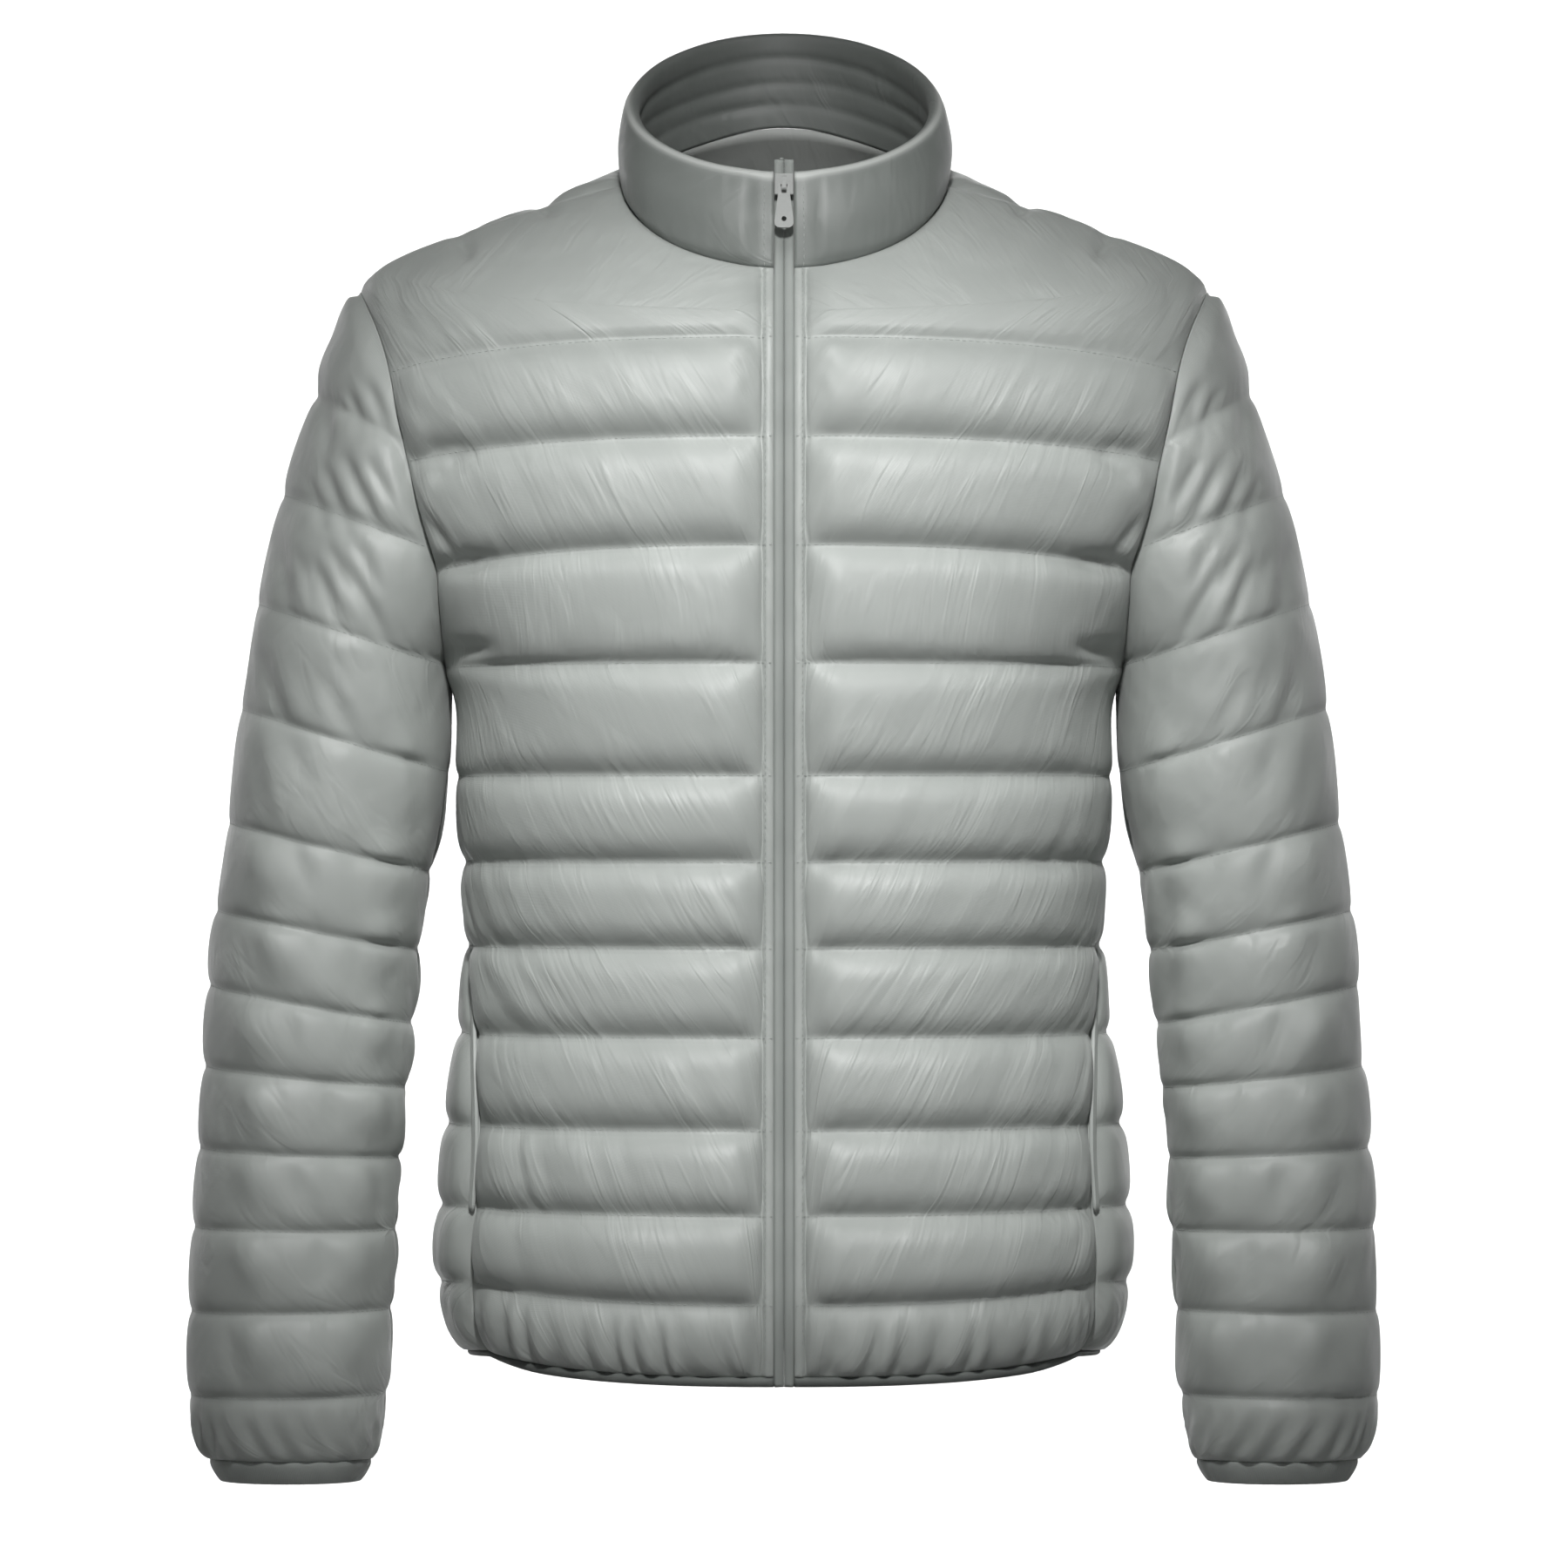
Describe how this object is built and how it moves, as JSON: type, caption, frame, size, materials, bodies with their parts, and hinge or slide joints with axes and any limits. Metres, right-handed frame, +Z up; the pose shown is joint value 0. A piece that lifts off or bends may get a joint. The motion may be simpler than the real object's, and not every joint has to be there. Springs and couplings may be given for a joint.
{
  "type": "puffer jacket",
  "caption": "Light quilted puffer jacket with a stand collar, set-in sleeves, elastic bound hem and cuffs and a full front zip, closed and filled out.",
  "frame": {"origin": "middle of the neck, level with the neck ends of the shoulder seams", "axes": "+Z up, the jacket faces -Y, +X towards the wearer's left"},
  "size_m": [0.6544, 0.2825, 0.802],
  "materials": {
    "shell": "satin grey-green nylon",
    "binding": "matt elastic binding",
    "zip_cloth": "matt woven tape with a row of teeth",
    "zip_metal": "satin light grey"
  },
  "bodies": {
    "jacket": {"front_left": "shell", "front_right": "shell", "back": "shell", "sleeve_left": "shell", "sleeve_right": "shell", "collar": "shell", "hem_binding": "binding", "cuff_binding_left": "binding", "cuff_binding_right": "binding", "pocket_welt_left": "binding", "pocket_welt_right": "binding", "zip_tape_left": "zip_cloth", "zip_tape_right": "zip_cloth", "zip_slider": "zip_metal"},
    "pull_tab": {"zip_pull": "zip_metal"}
  },
  "joints": [
    {"name": "zip_pull_hinge", "type": "hinge", "parent": "jacket", "child": "pull_tab", "pos_m": [0, -0.08063, -0.00507], "axis": [-1, 0, 0], "range_deg": [0, 160]}
  ]
}
